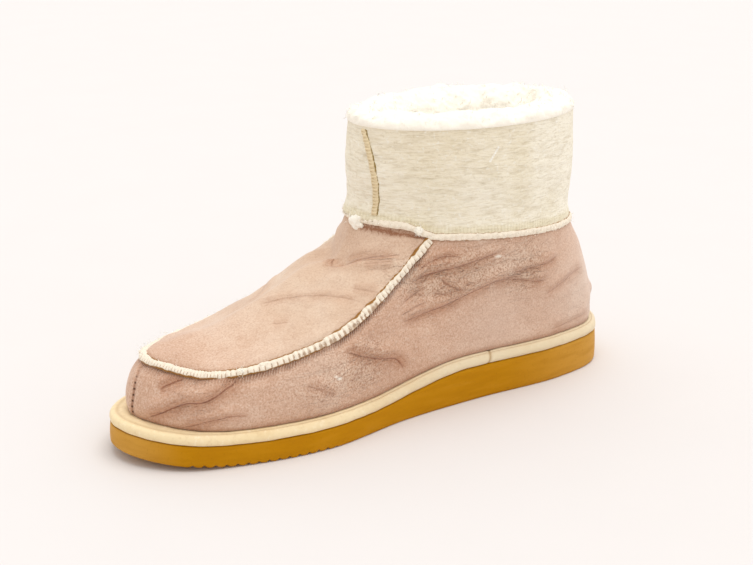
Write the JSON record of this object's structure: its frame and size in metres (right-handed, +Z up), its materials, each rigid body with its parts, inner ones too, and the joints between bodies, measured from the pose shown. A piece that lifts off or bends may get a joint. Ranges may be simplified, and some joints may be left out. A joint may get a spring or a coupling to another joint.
{
  "type": "sheepskin ankle slipper boot",
  "caption": "Soft ankle slipper boot with a raised apron seam over the toe, a straight turned-up cuff with a fleece rim, and a low wedge sole; worn on one foot.",
  "frame": {"origin": "under the middle of the outsole, on the floor", "axes": "+X to the toe, +Y to the wearer's left (the inner side), +Z up"},
  "size_m": [0.284, 0.1, 0.1493],
  "materials": {
    "gum_rubber": "smooth caramel gum rubber, dull",
    "rand_wrap": "cream wrapped edge, satin",
    "suede": "tan skin side of sheepskin, matt and creased",
    "cuff_skin": "undyed cream sheepskin, matt",
    "seam_binding": "overcast seam in cream thread",
    "fleece": "white wool fleece"
  },
  "bodies": {
    "root": {"outsole": "gum_rubber", "midsole": "rand_wrap", "insole": "fleece", "upper": "suede", "apron_seam": "seam_binding", "collar_seam": "seam_binding", "cuff": "cuff_skin", "cuff_seam": "seam_binding", "fleece_collar": "fleece"}
  },
  "joints": []
}
